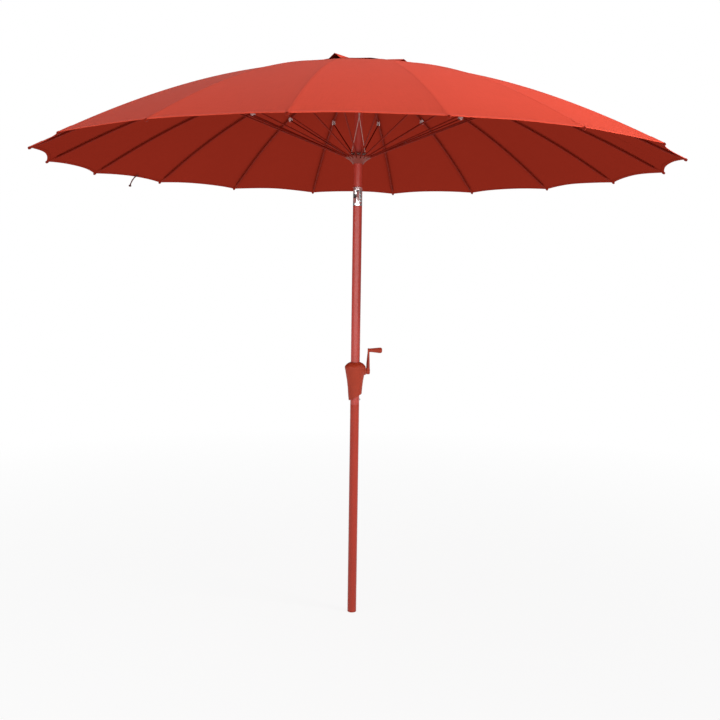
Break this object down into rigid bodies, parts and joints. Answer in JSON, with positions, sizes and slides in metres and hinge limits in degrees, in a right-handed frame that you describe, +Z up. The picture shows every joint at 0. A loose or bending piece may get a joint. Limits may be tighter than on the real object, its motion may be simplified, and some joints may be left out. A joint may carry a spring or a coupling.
{
  "type": "patio umbrella",
  "caption": "Round crank-and-tilt patio umbrella with a ribbed fabric canopy, vent cap, sliding runner, stretchers, chrome tilt joint and a crank housing on a two-piece pole.",
  "frame": {"origin": "centre of the pole's foot", "axes": "+Z up along the pole, +X towards the crank, the canopy tilts towards the front left, at 218 degrees from +X"},
  "size_m": [2.55, 2.5112, 2.328],
  "materials": {
    "canopy_fabric": "woven, matt",
    "red_paint": "smooth, semi-gloss",
    "red_plastic": "moulded, satin",
    "grey_plastic": "moulded, matt",
    "chrome": "polished",
    "steel": "brushed",
    "lift_line": "braided cord",
    "tie_cord": "braided cord"
  },
  "bodies": {
    "pole": {"foot_plug": "grey_plastic", "lower_pole": "red_paint", "middle_pole": "red_paint", "snap_spring": "steel", "housing_front": "red_plastic", "housing_back": "red_plastic", "crank_bushing": "grey_plastic", "tilt_base": "chrome", "tilt_pin": "steel"},
    "snap_button": {"snap_button": "steel"},
    "crank": {"crank_shaft": "steel", "crank_arm": "red_plastic"},
    "crank_knob": {"crank_knob": "red_plastic"},
    "tilt_button": {"tilt_button": "chrome"},
    "upper": {"tilt_head": "chrome", "upper_pole": "red_paint", "crown_hub": "red_plastic", "finial": "red_plastic", "canopy": "canopy_fabric", "vent_cap": "canopy_fabric", "lift_line": "lift_line"},
    "line_pulley": {"line_pulley": "grey_plastic"},
    "runner": {"runner": "red_plastic"},
    "rib_01": {"rib_01": "red_paint"},
    "stretcher_01": {"stretcher_01": "red_paint"},
    "rib_02": {"rib_02": "red_paint"},
    "stretcher_02": {"stretcher_02": "red_paint"},
    "rib_03": {"rib_03": "red_paint"},
    "stretcher_03": {"stretcher_03": "red_paint"},
    "rib_04": {"rib_04": "red_paint"},
    "stretcher_04": {"stretcher_04": "red_paint"},
    "rib_05": {"rib_05": "red_paint"},
    "stretcher_05": {"stretcher_05": "red_paint"},
    "rib_06": {"rib_06": "red_paint"},
    "stretcher_06": {"stretcher_06": "red_paint"},
    "rib_07": {"rib_07": "red_paint"},
    "stretcher_07": {"stretcher_07": "red_paint"},
    "rib_08": {"rib_08": "red_paint", "tie_cord": "tie_cord"},
    "stretcher_08": {"stretcher_08": "red_paint"},
    "rib_09": {"rib_09": "red_paint"},
    "stretcher_09": {"stretcher_09": "red_paint"},
    "rib_10": {"rib_10": "red_paint"},
    "stretcher_10": {"stretcher_10": "red_paint"},
    "rib_11": {"rib_11": "red_paint"},
    "stretcher_11": {"stretcher_11": "red_paint"},
    "rib_12": {"rib_12": "red_paint"},
    "stretcher_12": {"stretcher_12": "red_paint"},
    "rib_13": {"rib_13": "red_paint"},
    "stretcher_13": {"stretcher_13": "red_paint"},
    "rib_14": {"rib_14": "red_paint"},
    "stretcher_14": {"stretcher_14": "red_paint"},
    "rib_15": {"rib_15": "red_paint"},
    "stretcher_15": {"stretcher_15": "red_paint"},
    "rib_16": {"rib_16": "red_paint"},
    "stretcher_16": {"stretcher_16": "red_paint"},
    "rib_17": {"rib_17": "red_paint"},
    "stretcher_17": {"stretcher_17": "red_paint"},
    "rib_18": {"rib_18": "red_paint"},
    "stretcher_18": {"stretcher_18": "red_paint"}
  },
  "joints": [
    {"name": "canopy_tilt", "type": "hinge", "parent": "pole", "child": "upper", "pos_m": [0, 0, 1.783], "axis": [0.6157, -0.788, 0], "range_deg": [0, 35], "deforming": ["lift_line"]},
    {"name": "runner_slide", "type": "slide", "parent": "upper", "child": "runner", "axis": [0, 0, 1], "range_m": [-0.818, 0], "deforming": ["canopy", "vent_cap", "lift_line"]},
    {"name": "crank_turn", "type": "hinge", "parent": "pole", "child": "crank", "pos_m": [0, 0, 1.047], "axis": [1, 0, 0], "range_deg": [-7813.3, 0]},
    {"name": "knob_spin", "type": "hinge", "parent": "crank", "child": "crank_knob", "pos_m": [0.08, 0, 1.136], "axis": [1, 0, 0], "continuous": true},
    {"name": "tilt_button_press", "type": "slide", "parent": "pole", "child": "tilt_button", "axis": [-0.6157, 0.788, 0], "range_m": [0, 0.0025], "stiffness_N_per_m": 800, "springref_m": -0.0015},
    {"name": "snap_button_press", "type": "slide", "parent": "pole", "child": "snap_button", "axis": [-1, 0, 0], "range_m": [0, 0.004], "stiffness_N_per_m": 800, "springref_m": -0.0015, "deforming": ["snap_spring"]},
    {"name": "pulley_spin", "type": "hinge", "parent": "upper", "child": "line_pulley", "pos_m": [0.01848, -0.01318, 2.238], "axis": [0.5807, 0.8141, 0], "range_deg": [-8013.6, 0]},
    {"name": "rib_fold_01", "type": "hinge", "parent": "upper", "child": "rib_01", "pos_m": [0.046, 0, 2.28231], "axis": [0, -1, 0], "range_deg": [-65.42, 0]},
    {"name": "stretcher_fold_01", "type": "hinge", "parent": "rib_01", "child": "stretcher_01", "pos_m": [0.615, 0, 2.16266], "axis": [0, 1, 0], "range_deg": [-121.41, 0]},
    {"name": "rib_fold_02", "type": "hinge", "parent": "upper", "child": "rib_02", "pos_m": [0.04323, 0.01573, 2.28231], "axis": [0.342, -0.9397, 0], "range_deg": [-65.42, 0]},
    {"name": "stretcher_fold_02", "type": "hinge", "parent": "rib_02", "child": "stretcher_02", "pos_m": [0.57791, 0.21034, 2.16266], "axis": [-0.342, 0.9397, 0], "range_deg": [-121.41, 0]},
    {"name": "rib_fold_03", "type": "hinge", "parent": "upper", "child": "rib_03", "pos_m": [0.03524, 0.02957, 2.28231], "axis": [0.6428, -0.766, 0], "range_deg": [-65.42, 0]},
    {"name": "stretcher_fold_03", "type": "hinge", "parent": "rib_03", "child": "stretcher_03", "pos_m": [0.47112, 0.39531, 2.16266], "axis": [-0.6428, 0.766, 0], "range_deg": [-121.41, 0]},
    {"name": "rib_fold_04", "type": "hinge", "parent": "upper", "child": "rib_04", "pos_m": [0.023, 0.03984, 2.28231], "axis": [0.866, -0.5, 0], "range_deg": [-65.42, 0]},
    {"name": "stretcher_fold_04", "type": "hinge", "parent": "rib_04", "child": "stretcher_04", "pos_m": [0.3075, 0.53261, 2.16266], "axis": [-0.866, 0.5, 0], "range_deg": [-121.41, 0]},
    {"name": "rib_fold_05", "type": "hinge", "parent": "upper", "child": "rib_05", "pos_m": [0.00799, 0.0453, 2.28231], "axis": [0.9848, -0.1736, 0], "range_deg": [-65.42, 0]},
    {"name": "stretcher_fold_05", "type": "hinge", "parent": "rib_05", "child": "stretcher_05", "pos_m": [0.10679, 0.60566, 2.16266], "axis": [-0.9848, 0.1736, 0], "range_deg": [-121.41, 0]},
    {"name": "rib_fold_06", "type": "hinge", "parent": "upper", "child": "rib_06", "pos_m": [-0.00799, 0.0453, 2.28231], "axis": [0.9848, 0.1736, 0], "range_deg": [-65.42, 0]},
    {"name": "stretcher_fold_06", "type": "hinge", "parent": "rib_06", "child": "stretcher_06", "pos_m": [-0.10679, 0.60566, 2.16266], "axis": [-0.9848, -0.1736, 0], "range_deg": [-121.41, 0]},
    {"name": "rib_fold_07", "type": "hinge", "parent": "upper", "child": "rib_07", "pos_m": [-0.023, 0.03984, 2.28231], "axis": [0.866, 0.5, 0], "range_deg": [-65.42, 0]},
    {"name": "stretcher_fold_07", "type": "hinge", "parent": "rib_07", "child": "stretcher_07", "pos_m": [-0.3075, 0.53261, 2.16266], "axis": [-0.866, -0.5, 0], "range_deg": [-121.41, 0]},
    {"name": "rib_fold_08", "type": "hinge", "parent": "upper", "child": "rib_08", "pos_m": [-0.03524, 0.02957, 2.28231], "axis": [0.6428, 0.766, 0], "range_deg": [-65.42, 0], "deforming": ["tie_cord"]},
    {"name": "stretcher_fold_08", "type": "hinge", "parent": "rib_08", "child": "stretcher_08", "pos_m": [-0.47112, 0.39531, 2.16266], "axis": [-0.6428, -0.766, 0], "range_deg": [-121.41, 0]},
    {"name": "rib_fold_09", "type": "hinge", "parent": "upper", "child": "rib_09", "pos_m": [-0.04323, 0.01573, 2.28231], "axis": [0.342, 0.9397, 0], "range_deg": [-65.42, 0]},
    {"name": "stretcher_fold_09", "type": "hinge", "parent": "rib_09", "child": "stretcher_09", "pos_m": [-0.57791, 0.21034, 2.16266], "axis": [-0.342, -0.9397, 0], "range_deg": [-121.41, 0]},
    {"name": "rib_fold_10", "type": "hinge", "parent": "upper", "child": "rib_10", "pos_m": [-0.046, 0, 2.28231], "axis": [0, 1, 0], "range_deg": [-65.42, 0]},
    {"name": "stretcher_fold_10", "type": "hinge", "parent": "rib_10", "child": "stretcher_10", "pos_m": [-0.615, 0, 2.16266], "axis": [0, -1, 0], "range_deg": [-121.41, 0]},
    {"name": "rib_fold_11", "type": "hinge", "parent": "upper", "child": "rib_11", "pos_m": [-0.04323, -0.01573, 2.28231], "axis": [-0.342, 0.9397, 0], "range_deg": [-65.42, 0]},
    {"name": "stretcher_fold_11", "type": "hinge", "parent": "rib_11", "child": "stretcher_11", "pos_m": [-0.57791, -0.21034, 2.16266], "axis": [0.342, -0.9397, 0], "range_deg": [-121.41, 0]},
    {"name": "rib_fold_12", "type": "hinge", "parent": "upper", "child": "rib_12", "pos_m": [-0.03524, -0.02957, 2.28231], "axis": [-0.6428, 0.766, 0], "range_deg": [-65.42, 0]},
    {"name": "stretcher_fold_12", "type": "hinge", "parent": "rib_12", "child": "stretcher_12", "pos_m": [-0.47112, -0.39531, 2.16266], "axis": [0.6428, -0.766, 0], "range_deg": [-121.41, 0]},
    {"name": "rib_fold_13", "type": "hinge", "parent": "upper", "child": "rib_13", "pos_m": [-0.023, -0.03984, 2.28231], "axis": [-0.866, 0.5, 0], "range_deg": [-65.42, 0]},
    {"name": "stretcher_fold_13", "type": "hinge", "parent": "rib_13", "child": "stretcher_13", "pos_m": [-0.3075, -0.53261, 2.16266], "axis": [0.866, -0.5, 0], "range_deg": [-121.41, 0]},
    {"name": "rib_fold_14", "type": "hinge", "parent": "upper", "child": "rib_14", "pos_m": [-0.00799, -0.0453, 2.28231], "axis": [-0.9848, 0.1736, 0], "range_deg": [-65.42, 0]},
    {"name": "stretcher_fold_14", "type": "hinge", "parent": "rib_14", "child": "stretcher_14", "pos_m": [-0.10679, -0.60566, 2.16266], "axis": [0.9848, -0.1736, 0], "range_deg": [-121.41, 0]},
    {"name": "rib_fold_15", "type": "hinge", "parent": "upper", "child": "rib_15", "pos_m": [0.00799, -0.0453, 2.28231], "axis": [-0.9848, -0.1736, 0], "range_deg": [-65.42, 0]},
    {"name": "stretcher_fold_15", "type": "hinge", "parent": "rib_15", "child": "stretcher_15", "pos_m": [0.10679, -0.60566, 2.16266], "axis": [0.9848, 0.1736, 0], "range_deg": [-121.41, 0]},
    {"name": "rib_fold_16", "type": "hinge", "parent": "upper", "child": "rib_16", "pos_m": [0.023, -0.03984, 2.28231], "axis": [-0.866, -0.5, 0], "range_deg": [-65.42, 0]},
    {"name": "stretcher_fold_16", "type": "hinge", "parent": "rib_16", "child": "stretcher_16", "pos_m": [0.3075, -0.53261, 2.16266], "axis": [0.866, 0.5, 0], "range_deg": [-121.41, 0]},
    {"name": "rib_fold_17", "type": "hinge", "parent": "upper", "child": "rib_17", "pos_m": [0.03524, -0.02957, 2.28231], "axis": [-0.6428, -0.766, 0], "range_deg": [-65.42, 0]},
    {"name": "stretcher_fold_17", "type": "hinge", "parent": "rib_17", "child": "stretcher_17", "pos_m": [0.47112, -0.39531, 2.16266], "axis": [0.6428, 0.766, 0], "range_deg": [-121.41, 0]},
    {"name": "rib_fold_18", "type": "hinge", "parent": "upper", "child": "rib_18", "pos_m": [0.04323, -0.01573, 2.28231], "axis": [-0.342, -0.9397, 0], "range_deg": [-65.42, 0]},
    {"name": "stretcher_fold_18", "type": "hinge", "parent": "rib_18", "child": "stretcher_18", "pos_m": [0.57791, -0.21034, 2.16266], "axis": [0.342, 0.9397, 0], "range_deg": [-121.41, 0]}
  ],
  "couplings": [
    {"joint": "crank_turn", "follows": "runner_slide", "rad_per_m": 166.67},
    {"joint": "pulley_spin", "follows": "runner_slide", "rad_per_m": 170.94},
    {"joint": "rib_fold_01", "follows": "runner_slide", "rad_per_m": 1.3957},
    {"joint": "stretcher_fold_01", "follows": "runner_slide", "rad_per_m": 2.5903},
    {"joint": "rib_fold_02", "follows": "runner_slide", "rad_per_m": 1.3957},
    {"joint": "stretcher_fold_02", "follows": "runner_slide", "rad_per_m": 2.5903},
    {"joint": "rib_fold_03", "follows": "runner_slide", "rad_per_m": 1.3957},
    {"joint": "stretcher_fold_03", "follows": "runner_slide", "rad_per_m": 2.5903},
    {"joint": "rib_fold_04", "follows": "runner_slide", "rad_per_m": 1.3957},
    {"joint": "stretcher_fold_04", "follows": "runner_slide", "rad_per_m": 2.5903},
    {"joint": "rib_fold_05", "follows": "runner_slide", "rad_per_m": 1.3957},
    {"joint": "stretcher_fold_05", "follows": "runner_slide", "rad_per_m": 2.5903},
    {"joint": "rib_fold_06", "follows": "runner_slide", "rad_per_m": 1.3957},
    {"joint": "stretcher_fold_06", "follows": "runner_slide", "rad_per_m": 2.5903},
    {"joint": "rib_fold_07", "follows": "runner_slide", "rad_per_m": 1.3957},
    {"joint": "stretcher_fold_07", "follows": "runner_slide", "rad_per_m": 2.5903},
    {"joint": "rib_fold_08", "follows": "runner_slide", "rad_per_m": 1.3957},
    {"joint": "stretcher_fold_08", "follows": "runner_slide", "rad_per_m": 2.5903},
    {"joint": "rib_fold_09", "follows": "runner_slide", "rad_per_m": 1.3957},
    {"joint": "stretcher_fold_09", "follows": "runner_slide", "rad_per_m": 2.5903},
    {"joint": "rib_fold_10", "follows": "runner_slide", "rad_per_m": 1.3957},
    {"joint": "stretcher_fold_10", "follows": "runner_slide", "rad_per_m": 2.5903},
    {"joint": "rib_fold_11", "follows": "runner_slide", "rad_per_m": 1.3957},
    {"joint": "stretcher_fold_11", "follows": "runner_slide", "rad_per_m": 2.5903},
    {"joint": "rib_fold_12", "follows": "runner_slide", "rad_per_m": 1.3957},
    {"joint": "stretcher_fold_12", "follows": "runner_slide", "rad_per_m": 2.5903},
    {"joint": "rib_fold_13", "follows": "runner_slide", "rad_per_m": 1.3957},
    {"joint": "stretcher_fold_13", "follows": "runner_slide", "rad_per_m": 2.5903},
    {"joint": "rib_fold_14", "follows": "runner_slide", "rad_per_m": 1.3957},
    {"joint": "stretcher_fold_14", "follows": "runner_slide", "rad_per_m": 2.5903},
    {"joint": "rib_fold_15", "follows": "runner_slide", "rad_per_m": 1.3957},
    {"joint": "stretcher_fold_15", "follows": "runner_slide", "rad_per_m": 2.5903},
    {"joint": "rib_fold_16", "follows": "runner_slide", "rad_per_m": 1.3957},
    {"joint": "stretcher_fold_16", "follows": "runner_slide", "rad_per_m": 2.5903},
    {"joint": "rib_fold_17", "follows": "runner_slide", "rad_per_m": 1.3957},
    {"joint": "stretcher_fold_17", "follows": "runner_slide", "rad_per_m": 2.5903},
    {"joint": "rib_fold_18", "follows": "runner_slide", "rad_per_m": 1.3957},
    {"joint": "stretcher_fold_18", "follows": "runner_slide", "rad_per_m": 2.5903}
  ]
}
